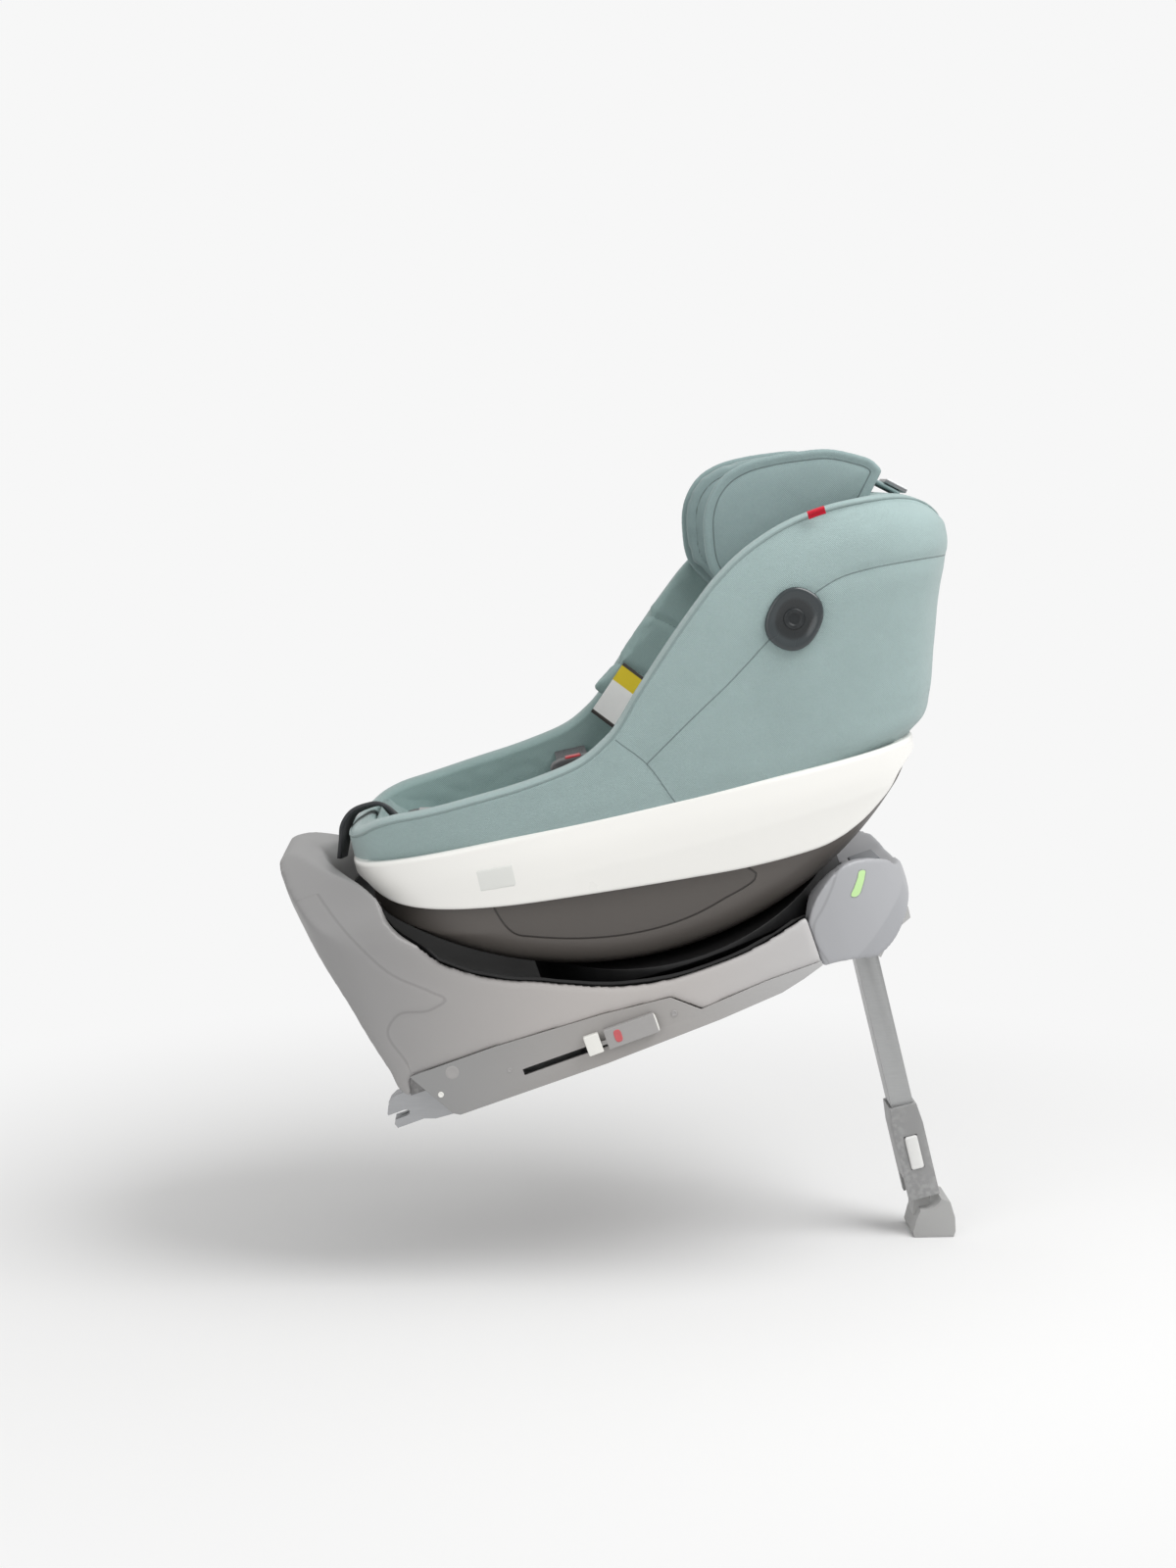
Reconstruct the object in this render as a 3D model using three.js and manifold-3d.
// A swivelling child car seat on its anchored base with a support leg.
// Millimetres, +Z up. The origin is the middle of the line through the two vehicle anchor bars.
// +X runs from the jaws towards the support leg, and the seat's near side faces -Y.
import * as THREE from "three";
import { mergeVertices } from "three/addons/utils/BufferGeometryUtils.js";
import Module from "manifold-3d";

const wasm = await Module();
wasm.setup();

// Attitudes in degrees: the base on a sloping vehicle seat, the bucket fully reclined, the leg.
const BASE_TILT = 19.5;
const SEAT_TILT = 12.7;
const LEG_LEAN = 14;
const BACK_SLOPE = 50.6;

// Fits between neighbours.
const GAP = 0.3;
const RUNNING = 1;
const OVERRUN = 60;
const SKIN = 4;

// Base: lengths run from the anchor line along the tilted base, heights from it.
const BASE_LENGTH = 600;
const BASE_HEIGHT = 310;
const BASE_HALF_WIDTH = 190;
const CHASSIS_LOW = -15;
const SHELL_WALL = 5;
const SWIVEL_X = 368;
const BOWL_RADIUS = 362;
const BOWL_HEIGHT = 310;
const WELL_RADIUS = 152;
const LINER_WALL = 3;
const LINER_TOP = 232;
const FRAME_X = 110;
const RAIL_WIDTH = 24;
const RAIL_HEIGHT = 24;
const RAIL_Y = 58;
const RAIL_WALL = 2.5;
const PLATE_THICK = 5;
const PLATE_HALF = 150;
const PLATE_Z = 26;
const RACE_INNER = 112;
const RACE_OUTER = 142;
const RECESS_HALF = 38;
const RECESS_TOP = 12;
const RECESS_WALL = 3;

// Anchor arms and their release units.
const ARM_SPACING = 280;
const ARM_WIDTH = 24;
const ARM_HEIGHT = 22;
const ARM_LENGTH = 235;
const ARM_BOTTOM = -4;
const ARM_WALL = 2.5;
const JAW_LENGTH = 74;
const JAW_HEIGHT = 44;
const ANCHOR_SLOT = 7;
const HOOK_WIDTH = 6;
const HOOK_RADIUS = 9;
const HOOK_BORE = 2.5;
const ARM_TRAVEL = 110;
const UNIT_LENGTH = 74;
const UNIT_HEIGHT = 22;
const UNIT_THICK = 9;
const UNIT_X = 219;
const UNIT_STEM = 5;
const RELEASE_LENGTH = 17;
const RELEASE_TRAVEL = 6;

// End cap with its lenses, display and swivel release key.
const CAP_LENGTH = 122;
const CAP_HEIGHT = 110;
const CAP_X = 483;
const FRAME_IN_CAP = 57;
const FRAME_LENGTH = CAP_X + FRAME_IN_CAP - FRAME_X;
const CAP_LOW = -4;
const CAP_HALF_WIDTH = 186;
const CAP_WALL = 4;
const LENS_THICK = 2;
const KEY_LENGTH = 30;
const KEY_WIDTH = 60;
const KEY_THICK = 9;
const KEY_PROUD = 4;
const CAP_DIP = 62;
const KEY_TRAVEL = 4;

// Support leg.
const LEG_HINGE_X = 522;
const LEG_HINGE_Z = 168;
const LEG_LENGTH = 365;
const LEG_DEPTH = 26;
const LEG_WIDTH = 40;
const LEG_WALL = 2.5;
const LEG_PIN_RADIUS = 6;
const LEG_TOP_REACH = 16;
const EAR_THICK = 6;
const EAR_LENGTH = 68;
const EAR_DROP = 46;
const SLEEVE_LENGTH = 112;
const SLEEVE_DEPTH = 36;
const SLEEVE_WIDTH = 52;
const SLEEVE_SHOULDER = 24;
const LEG_OVERLAP = 62;
const BUTTON_LENGTH = 40;
const BUTTON_WIDTH = 15;
const BUTTON_THICK = 5;
const BUTTON_SEAT = 1;
const BUTTON_TRAVEL = 3;
const FOOT_LENGTH = 48;
const FOOT_WIDTH = 62;
const FOOT_HEIGHT = 46;
const FOOT_TONGUE = 30;
const FOOT_PIN_DROP = 8;
const FOOT_PIN_RADIUS = 5;

// Turntable and the arc on which the bucket reclines.
const RECLINE_HEIGHT = 472;
const HULL_LOW = 62;
const HULL_RADIUS = RECLINE_HEIGHT - HULL_LOW;
const HULL_HALF_WIDTH = 188;
const HULL_WALL = 5;
const TURN_BOTTOM = 40;
const TURN_RADIUS = 184;
const TURN_TOP = 98;
const HUB_RADIUS = 30;
const HUB_FLANGE = 42;
const HUB_FLANGE_THICK = 4;
const TRACK_Y = 92;
const TRACK_WIDTH = 9;
const TRACK_RISE = 10;
const TRACK_SPAN = 24;

// Bucket: the seat's own frame shares the origin and is tilted by SEAT_TILT.
const BUCKET_FRONT = 3;
const BUCKET_LENGTH = 645;
const BUCKET_HALF_WIDTH = 208;
const BAND_LOW = 188;
const BAND_TOP = 278;
const BAND_THICK = 11;
const RIM_HEIGHT = 548;
const COVER_THICK = 5;
const HULL_TOP = 268;
const CAVITY_FRONT = 36;
const CAVITY_LENGTH = 640;
const CAVITY_HALF_WIDTH = 168;
const LINING = 3;
const PAN_WALL = 7;
const BIGHT_X = 410;
const BIGHT_Z = 262;
const BACK_LENGTH = 386;
const REAR_SEAM_X = 603;
const SOCKET_X = 524;
const SOCKET_Z = 439;
const SOCKET_LENGTH = 66;
const SOCKET_WIDTH = 56;
const SOCKET_THICK = 8;
const SOCKET_TURN = 50;
const KNOB_RADIUS = 11;

// Soft parts.
const PAD_THICK = 26;
const SEAT_PAD_LENGTH = 226;
const SEAT_PAD_WIDTH = 250;
const SEAT_PAD_X = 268;
const BACK_PAD_WIDTH = 200;
const BOLSTER_LOW = 20;
const BOLSTER_LENGTH = 208;
const BOLSTER_DEPTH = 155;
const BOLSTER_THICK = 21;
const CREASE = 4;

// Headrest.
const HEAD_WIDTH = 284;
const HEAD_WING = 9;
const HEAD_BACK = 12;
const HEAD_LENGTH = 220;
const HEAD_DEPTH = 156;
const HEAD_RISE = 21.55;
const HEAD_TOP = (RIM_HEIGHT + HEAD_RISE - BIGHT_Z) / Math.sin(THREE.MathUtils.degToRad(BACK_SLOPE));
const HEAD_LOW = HEAD_TOP - HEAD_LENGTH;
const BACK_PAD_LENGTH = HEAD_LOW - PAD_THICK - 3.5 * CREASE;
const WING_PAD_THICK = 26;
const HEAD_PAD_LENGTH = 188;
const HEAD_PAD_THICK = 28;
const SHOULDER_LENGTH = 112;
const SHOULDER_WIDTH = 46;
const SHOULDER_THICK = 15;
const HEAD_TRAVEL = 120;
const GUIDE_LENGTH = 80;
const GUIDE_WIDTH = 10;
const GUIDE_DEPTH = 7;
const GUIDE_Y = 60;
const SHOULDER_Y = 52;
const HANDLE_LENGTH = 22;
const HANDLE_WIDTH = 46;
const HANDLE_THICK = 5;
const HANDLE_REACH = 46;

// Harness hardware.
const WEB_WIDTH = 38;
const WEB_THICK = 3;
const BUCKLE_X = 268;
const BUCKLE_RISE = 34;
const BUCKLE_LENGTH = 58;
const BUCKLE_WIDTH = 44;
const BUCKLE_THICK = 20;
const BUCKLE_KEY = 18;
const BUCKLE_TRAVEL = 3;
const TONGUE_LENGTH = 34;
const TONGUE_WIDTH = 18;
const TONGUE_THICK = 3;
const ADJUSTER_LENGTH = 44;
const ADJUSTER_WIDTH = 54;
const ADJUSTER_THICK = 17;
const ADJUSTER_X = 86;
const ADJUSTER_KEY = 26;
const LOOP_WIDTH = 34;
const LOOP_THICK = 6;
const LOOP_REACH = 70;
const LOOP_DROP = 46;
const LIP_Z = 311.5;

// Outlines as shares, chosen by hand: (length, height) for a side view, (radius, height) for a turned one.
const UPPER_OUTLINE_SHARES = [
  [0.026, 0.075], [0.015, 0.1], [0.008, 0.18], [-0.003, 0.27], [-0.022, 0.46], [-0.043, 0.64],
  [-0.06, 0.82], [-0.071, 0.92], [-0.073, 0.95], [-0.066, 0.968], [-0.05, 0.976], [-0.028, 0.965],
  [-0.006, 0.935], [0.03, 0.88], [0.07, 0.82], [0.095, 0.75], [0.092, 0.68], [0.1, 0.64],
  [0.143, 0.55], [0.17, 0.495], [0.183, 0.458], [0.27, 0.368], [0.335, 0.316], [0.4, 0.268],
  [0.468, 0.232], [0.538, 0.203], [0.61, 0.18], [0.68, 0.174], [0.74, 0.18], [0.78, 0.203],
  [0.8055, 0.196], [0.8055, 0.14], [0.8055, 0.04], [0.7, 0.04], [0.575, 0.024], [0.53, 0.1],
  [0.4, 0.125], [0.2, 0.145], [0.036, 0.145],
];
const UPPER_HOLLOW_SHARES = [
  [0.035, 0], [0.03, 0.16], [0.012, 0.27], [-0.005, 0.44], [-0.02, 0.6], [-0.036, 0.78],
  [-0.045, 0.9], [-0.015, 0.93], [0.02, 0.88], [0.06, 0.79], [0.07, 0.7], [0.095, 0.58],
  [0.14, 0.48], [0.26, 0.335], [0.35, 0.26], [0.45, 0.21], [0.54, 0.178], [0.62, 0.156],
  [0.7, 0.152], [0.785, 0.17], [0.785, 0],
];
const CHASSIS_OUTLINE_SHARES = [
  [0.038, 0.143], [0.2, 0.143], [0.4, 0.123], [0.527, 0.098], [0.572, 0.0215], [0.7, 0.038],
  [0.8055, 0.038], [0.8055, 0.024], [0.765, 0], [0.72, -0.02], [0.6, -0.036], [0.38, -0.048],
  [0.1, -0.044], [0.088, -0.03],
];
const BASE_PLAN_SHARES = [
  [-0.072, 0], [-0.07, 0.3], [-0.066, 0.6], [-0.055, 0.8], [-0.035, 0.93], [0, 0.985],
  [0.06, 1], [0.8055, 1],
];
const BOWL_SHARES = [
  [0, 0.1], [0.43, 0.1], [0.47, 0.135], [0.53, 0.16], [0.6, 0.21], [0.66, 0.262],
  [0.71, 0.305], [0.78, 0.352], [0.85, 0.415], [0.915, 0.495], [0.962, 0.62], [0.985, 0.75],
  [1, 0.87], [1.02, 0.94], [1.06, 1.1], [0, 1.1],
];
const CAP_BOWL_SHARES = [
  [0, 0.1], [0.43, 0.1], [0.47, 0.135], [0.522, 0.155], [0.524, 0.268], [0.56, 0.288],
  [0.6, 0.315], [0.66, 0.348], [0.73, 0.4], [0.85, 0.5], [0.96, 0.62], [1.06, 1.1], [0, 1.1],
];
const CAP_OUTLINE_SHARES = [
  [0.004, 0.5], [0.2, 0.72], [0.45, 0.915], [0.57, 0.875], [0.65, 0.86], [0.8, 0.79],
  [0.94, 0.69], [0.975, 0.6], [0.985, 0.38], [0.95, 0.3], [0.83, 0.17], [0.62, 0.02],
  [0.5, 0], [0.004, 0],
];
const CAP_PLAN_SHARES = [
  [0, 1], [0.3, 0.985], [0.55, 0.93], [0.75, 0.84], [0.9, 0.7], [0.97, 0.45], [1, 0],
];
const JAW_OUTLINE_SHARES = [
  [-0.03, 0.5], [-0.13, 0.42], [-0.2, 0.29], [-0.245, 0.13], [-0.245, 0.08], [0, 0.08],
  [0.06, 0.055], [0.075, 0], [0.06, -0.055], [0, -0.08], [-0.16, -0.08], [-0.2, -0.18],
  [-0.175, -0.3], [0.24, -0.3], [0.4, -0.4], [0.72, -0.44], [0.72, 0.5],
];
const CLAW_OUTLINE_SHARES = [
  [0.2, 0.35], [-0.2, 0.42], [-0.75, 0.1], [-1.5, -0.85], [-1.2, -1.15], [-0.8, -0.6], [-0.2, -0.5],
];
const HULL_SECTION_SHARES = [
  [0.6, 1], [0.79, 1], [0.85, 0.985], [0.905, 0.95], [0.956, 0.87], [0.985, 0.74], [1, 0.57],
];
const BAND_LOW_SHARES = [
  [-0.03, 0.9], [0.02, 0.745], [0.04, 0.6], [0.062, 0.475], [0.09, 0.39], [0.125, 0.325],
  [0.235, 0.21], [0.37, 0.13], [0.465, 0.08], [0.565, 0.035], [0.66, 0], [0.73, 0],
  [0.79, 0.02], [0.83, 0.08], [0.855, 0.15], [0.91, 0.4], [0.96, 0.72], [1.03, 0.9],
];
const BAND_LEVEL_SHARES = [
  [0, 1, 0.972], [0.4, 1, 0.99], [0.7, 1, 1], [1, 1, 0.984],
];
const COVER_LEVEL_SHARES = [
  [0, 0.995, 0.982], [0.05, 1.024, 0.994], [0.14, 1.042, 1.004], [0.32, 1.063, 1.02],
  [0.56, 1.093, 1.03], [0.68, 1.113, 1.022], [0.76, 1.12, 1.008], [0.86, 1.113, 0.98],
  [0.95, 1.07, 0.94], [1, 1.03, 0.915],
];
const RIM_OUTLINE_SHARES = [
  [-0.05, 0], [-0.05, 0.1], [0, 0.1], [0.03, 0.122], [0.06, 0.15], [0.09, 0.163], [0.145, 0.168],
  [0.23, 0.182], [0.337, 0.204], [0.417, 0.24], [0.465, 0.298], [0.533, 0.455], [0.595, 0.6],
  [0.652, 0.725], [0.703, 0.825], [0.771, 0.918], [0.84, 0.972], [0.91, 0.993], [0.97, 0.988],
  [1.03, 0.972], [1.066, 0.943], [1.1, 0.87], [1.13, 0.78], [1.13, 0],
];
const CAVITY_OUTLINE_SHARES = [
  [0, 0.75], [0, 0.34], [0.04, 0.2], [0.18, 0.13], [0.545, -0.01],
];
const FRONT_SEAM_SHARES = [[0.445, 0.45], [0.473, 0.315], [0.522, 0.167], [0.553, 0], [0.563, -0.05]];
const CAP_SEAM_SHARES = [
  [0.522, 0.167], [0.611, 0.304], [0.688, 0.415], [0.764, 0.541], [0.808, 0.611], [0.853, 0.674],
  [0.895, 0.707], [0.95, 0.715], [1.009, 0.707], [1.054, 0.696],
];
const WALL_ARCH_SHARES = [
  [1, 0], [1, 0.62], [0.97, 0.71], [0.9, 0.79], [0.8, 0.86], [0.66, 0.92], [0.5, 0.96], [0.3, 0.985], [0, 1],
];
const LENS_OUTLINE_SHARES = [
  [0.6, 0.845], [0.648, 0.826], [0.59, 0.72], [0.5, 0.645], [0.426, 0.673], [0.541, 0.755],
];
const CAP_DIP_SHARES = [[0.94, 1], [0.8, 0.72], [0.64, 0.6], [0.56, 0.57]];
const EAR_OUTLINE_SHARES = [
  [0, 0.45], [0, -0.66], [0.09, -0.74], [0.29, -1], [0.66, -0.48], [0.98, -0.3], [1, -0.02], [0.8, 0.45],
];
const HOLLOW_LEVEL_SHARES = [
  [0, 1, 0.982], [0.3, 1.04, 1.004], [0.56, 1.093, 1.03], [0.76, 1.12, 1.008],
  [0.95, 1.07, 0.94], [1, 1.03, 0.915],
];
const BOLSTER_OUTLINE_SHARES = [
  [0, 0], [0, 0.9], [0.02, 0.99], [0.21, 0.96], [0.24, 0.9], [0.27, 0.95], [0.54, 0.905],
  [0.57, 0.85], [0.6, 0.9], [0.82, 0.83], [1, 0.76], [1, 0],
];
const WING_OUTLINE_SHARES = [
  [0.02, 0.01], [0.06, 0.3], [0.11, 0.55], [0.17, 0.76], [0.3, 0.905], [0.4, 0.975], [0.505, 1],
  [0.605, 0.975], [0.7, 0.893], [0.79, 0.757], [0.877, 0.587], [0.953, 0.41], [0.986, 0.256],
  [1, 0.09], [0.98, 0.01],
];
const PAD_LEVEL_SHARES = [
  [0.9, 0], [1, 0.3], [0.97, 0.62], [0.86, 0.82], [0.64, 0.94], [0.34, 0.99], [0.1, 1],
];
const FOOT_OUTLINE_SHARES = [
  [-0.46, 0], [-0.5, 0.1], [-0.42, 0.45], [-0.26, 0.86], [-0.1, 1], [0.16, 1],
  [0.4, 0.9], [0.52, 0.5], [0.54, 0.14], [0.5, 0],
];
const LOOP_ROUTE_SHARES = [
  [0.85, -0.37], [0.66, 0.06], [0.61, 0.13], [0.4, 0.17], [0.17, 0.09], [0.04, -0.1], [-0.06, -0.5],
  [-0.157, -0.9],
];

const COLOURS = {
  shell_grey: 0xa8a7a8,
  panel_grey: 0xa7a29f,
  cap_grey: 0xa1a5ab,
  dark_plastic: 0x3f3b38,
  black_plastic: 0x17181a,
  white_plastic: 0xf0f0eb,
  steel: 0x9b9da0,
  rubber: 0x6d6f70,
  green_lens: 0xc4e0a4,
  cover_fabric: 0x9aafad,
  pad_fabric: 0x7e9592,
  webbing: 0x2a2c2e,
  red_key: 0xb3202c,
};

const object = new THREE.Group();
const base = new THREE.Group();
base.rotation.y = THREE.MathUtils.degToRad(-BASE_TILT);
const seat = new THREE.Group();
seat.rotation.y = THREE.MathUtils.degToRad(-SEAT_TILT);
const leg = new THREE.Group();
leg.position.set(LEG_HINGE_X, 0, LEG_HINGE_Z);
leg.rotation.y = THREE.MathUtils.degToRad(-LEG_LEAN);
const footFrame = new THREE.Group();
const headFrame = new THREE.Group();
headFrame.position.set(BIGHT_X, 0, BIGHT_Z);
headFrame.rotation.y = THREE.MathUtils.degToRad(-BACK_SLOPE);
seat.add(headFrame);
object.add(base, seat, leg, footFrame);

// Solids from three.js geometries.
function solid(geometry) {
  const plain = geometry.index ? geometry.toNonIndexed() : geometry.clone();
  plain.deleteAttribute("normal");
  plain.deleteAttribute("uv");
  const merged = mergeVertices(plain, 1e-4);
  const vertProperties = new Float32Array(merged.attributes.position.array);
  const triVerts = new Uint32Array(merged.index.array);
  let made = new wasm.Manifold(new wasm.Mesh({ numProp: 3, vertProperties, triVerts }));
  if (made.volume() < 0) {
    const turned = triVerts.slice();
    for (let i = 0; i < turned.length; i += 3) {
      [turned[i + 1], turned[i + 2]] = [turned[i + 2], turned[i + 1]];
    }
    made = new wasm.Manifold(new wasm.Mesh({ numProp: 3, vertProperties, triVerts: turned }));
  }
  return made;
}

function cut(body, ...tools) {
  return tools.reduce((left, tool) => left.subtract(tool), body);
}

function join(...bodies) {
  return bodies.reduce((all, body) => all.add(body));
}

function keep(body, ...regions) {
  return regions.reduce((left, region) => left.intersect(region), body);
}

function place(name, colour, body, group, [roughness, metalness], at = [0, 0, 0], turn = [0, 0, 0]) {
  const data = body.getMesh();
  const geometry = new THREE.BufferGeometry();
  geometry.setAttribute("position", new THREE.BufferAttribute(data.vertProperties, data.numProp));
  geometry.setIndex(new THREE.BufferAttribute(data.triVerts, 1));
  geometry.computeVertexNormals();
  const material = new THREE.MeshStandardMaterial({ color: COLOURS[colour], roughness, metalness });
  const mesh = new THREE.Mesh(geometry, material);
  mesh.name = name;
  mesh.position.set(...at);
  mesh.rotation.set(...turn.map(THREE.MathUtils.degToRad));
  group.add(mesh);
}

// A side outline of (x, z) points carried across from low to high Y.
function slabY(points, low, high) {
  const shape = new THREE.Shape(points.map(([x, z]) => new THREE.Vector2(x, z)));
  const geometry = new THREE.ExtrudeGeometry(shape, { depth: high - low, bevelEnabled: false });
  geometry.rotateX(Math.PI / 2);
  geometry.translate(0, high, 0);
  return solid(geometry);
}

// A plan outline of (x, y) points carried up from low to high Z.
function slabZ(points, low, high) {
  const shape = new THREE.Shape(points.map(([x, y]) => new THREE.Vector2(x, y)));
  const geometry = new THREE.ExtrudeGeometry(shape, { depth: high - low, bevelEnabled: false });
  geometry.translate(0, 0, low);
  return solid(geometry);
}

function block([x0, x1], [y0, y1], [z0, z1]) {
  const geometry = new THREE.BoxGeometry(x1 - x0, y1 - y0, z1 - z0);
  geometry.translate((x0 + x1) / 2, (y0 + y1) / 2, (z0 + z1) / 2);
  return solid(geometry);
}

// A front outline of (y, z) points carried along from low to high X.
function slabX(points, low, high) {
  const shape = new THREE.Shape(points.map(([y, z]) => new THREE.Vector2(y, z)));
  const geometry = new THREE.ExtrudeGeometry(shape, { depth: high - low, bevelEnabled: false });
  geometry.rotateX(Math.PI / 2);
  geometry.rotateZ(Math.PI / 2);
  geometry.translate(low, 0, 0);
  return solid(geometry);
}

// A profile of (radius, height) points turned about an axis parallel to Z or Y.
function turnedZ(points, x, steps = 48) {
  const geometry = new THREE.LatheGeometry(points.map(([r, h]) => new THREE.Vector2(r, h)), steps);
  geometry.rotateX(Math.PI / 2);
  geometry.translate(x, 0, 0);
  return solid(geometry);
}

function turnedY(points, x, z, steps = 72) {
  const geometry = new THREE.LatheGeometry(points.map(([r, h]) => new THREE.Vector2(r, h)), steps);
  geometry.translate(x, 0, z);
  return solid(geometry);
}

function pinY(radius, low, high, x, z, steps = 20) {
  const geometry = new THREE.CylinderGeometry(radius, radius, high - low, steps);
  geometry.translate(x, (low + high) / 2, z);
  return solid(geometry);
}

// Rings of equally many points, joined in order and closed at both ends by fans.
function loft(rings) {
  const count = rings[0].length;
  const positions = rings.flat(2);
  const index = [];
  for (let r = 0; r + 1 < rings.length; r += 1) {
    for (let i = 0; i < count; i += 1) {
      const a = r * count + i;
      const b = r * count + ((i + 1) % count);
      index.push(a, b, b + count, a, b + count, a + count);
    }
  }
  for (const [ring, flip] of [[0, false], [rings.length - 1, true]]) {
    const middle = positions.length / 3;
    const points = rings[ring];
    for (const axis of [0, 1, 2]) {
      positions.push(points.reduce((sum, p) => sum + p[axis], 0) / count);
    }
    for (let i = 0; i < count; i += 1) {
      const a = ring * count + i;
      const b = ring * count + ((i + 1) % count);
      index.push(...(flip ? [a, b, middle] : [b, a, middle]));
    }
  }
  const geometry = new THREE.BufferGeometry();
  geometry.setAttribute("position", new THREE.Float32BufferAttribute(positions, 3));
  geometry.setIndex(index);
  return solid(geometry);
}

// One turn of a rounded rectangle: |x/a|^n + |y/b|^n = 1 about (x, y).
function roundedRing(x, y, a, b, power, count = 44) {
  const ring = [];
  for (let i = 0; i < count; i += 1) {
    const turn = (2 * Math.PI * (i + 0.5)) / count;
    const c = Math.cos(turn);
    const s = Math.sin(turn);
    ring.push([
      x + a * Math.sign(c) * Math.abs(c) ** (2 / power),
      y + b * Math.sign(s) * Math.abs(s) ** (2 / power),
    ]);
  }
  return ring;
}

function scaled(shares, length, height) {
  return shares.map(([a, b]) => [a * length, b * height]);
}

// Both halves of a symmetrical plan, from (x, half width) shares.
function mirrored(shares, length, half) {
  const near = shares.map(([a, b]) => [a * length, -b * half]);
  const far = shares.map(([a, b]) => [a * length, b * half]).reverse();
  return [...near, ...far].filter((p, i, all) => i === 0 || p[0] !== all[i - 1][0] || p[1] !== all[i - 1][1]);
}

// A stuffed pad lying on z = 0: drawn-in sides, a crown, and creases sewn across it at shares of x.
function cushion(length, width, thick, creaseShares = [], power = 3.6, count = 28) {
  const rings = PAD_LEVEL_SHARES.map(([spread, rise]) => {
    const ring = roundedRing(0, 0, (length / 2) * spread, (width / 2) * spread, power, count);
    return ring.map(([x, y]) => {
      const pull = 1 - 0.035 * Math.cos((Math.PI * x) / length) ** 2 * (spread > 0.8 ? 1 : 0);
      const dips = creaseShares.map((share) => Math.exp(-(((x - share * length) / (3 * CREASE)) ** 2)));
      const dip = rise > 0.5 ? CREASE * Math.max(0, ...dips) : 0;
      return [x, y * pull, thick * rise - dip];
    });
  });
  return loft(rings);
}

// The bowl in which the seat swivels, grown by a wall.
function bowl(wall, shares = BOWL_SHARES) {
  const profile = shares.map(([r, h]) => [
    r === 0 ? 0 : r * BOWL_RADIUS + (r > 0.96 ? wall : 0),
    h * BOWL_HEIGHT - (r > 0.96 || h > 1 ? 0 : wall),
  ]);
  return turnedZ(profile, SWIVEL_X, 54);
}

// Base shells
function baseUpperShell() {
  const outline = scaled(UPPER_OUTLINE_SHARES, BASE_LENGTH, BASE_HEIGHT);
  const hollow = scaled(UPPER_HOLLOW_SHARES, BASE_LENGTH, BASE_HEIGHT);
  const plan = mirrored(BASE_PLAN_SHARES, BASE_LENGTH, BASE_HALF_WIDTH);
  const outer = keep(
    slabY(outline, -BASE_HALF_WIDTH, BASE_HALF_WIDTH),
    slabZ(plan, -BASE_HEIGHT, BASE_HEIGHT + OVERRUN),
    wallArch(0),
  );
  const insideHalf = BASE_HALF_WIDTH - SHELL_WALL;
  const innerPlan = mirrored(BASE_PLAN_SHARES, BASE_LENGTH, insideHalf).map(([x, y]) => [x + SHELL_WALL, y]);
  const inner = cut(
    keep(
      slabY(hollow, -insideHalf, insideHalf), slabZ(innerPlan, -BASE_HEIGHT, BASE_HEIGHT),
      wallArch(SHELL_WALL),
    ),
    bowl(SHELL_WALL),
  );
  return cut(outer, bowl(0), inner, wellRoom());
}

// Seen from the front, the wall's top is an arch.
function wallArch(inset) {
  const half = BASE_HALF_WIDTH - inset;
  const top = BASE_HEIGHT - inset;
  const near = WALL_ARCH_SHARES.map(([a, b]) => [-a * half, b * top]);
  const far = WALL_ARCH_SHARES.slice(0, -1).map(([a, b]) => [a * half, b * top]).reverse();
  return slabX([...near, ...far], -BASE_LENGTH, 2 * BASE_LENGTH);
}

function wellRoom() {
  return turnedZ(
    [[0, -BASE_HEIGHT], [WELL_RADIUS, -BASE_HEIGHT], [WELL_RADIUS, BASE_HEIGHT], [0, BASE_HEIGHT]], SWIVEL_X,
  );
}

function bowlLiner() {
  const plan = mirrored(BASE_PLAN_SHARES, BASE_LENGTH, BASE_HALF_WIDTH - GAP);
  const outline = scaled(UPPER_OUTLINE_SHARES, BASE_LENGTH, BASE_HEIGHT);
  const thick = cut(bowl(-GAP), bowl(-GAP - LINER_WALL));
  return keep(
    thick,
    slabZ(plan, TURN_BOTTOM - LINER_WALL, LINER_TOP),
    slabY(outline.map(([x, z]) => [x, z + LINER_WALL]), -BASE_HALF_WIDTH, BASE_HALF_WIDTH),
    wallArch(GAP),
  );
}

function armRangeY(side) {
  const middle = (side * ARM_SPACING) / 2;
  return [middle - ARM_WIDTH / 2, middle + ARM_WIDTH / 2];
}

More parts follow.
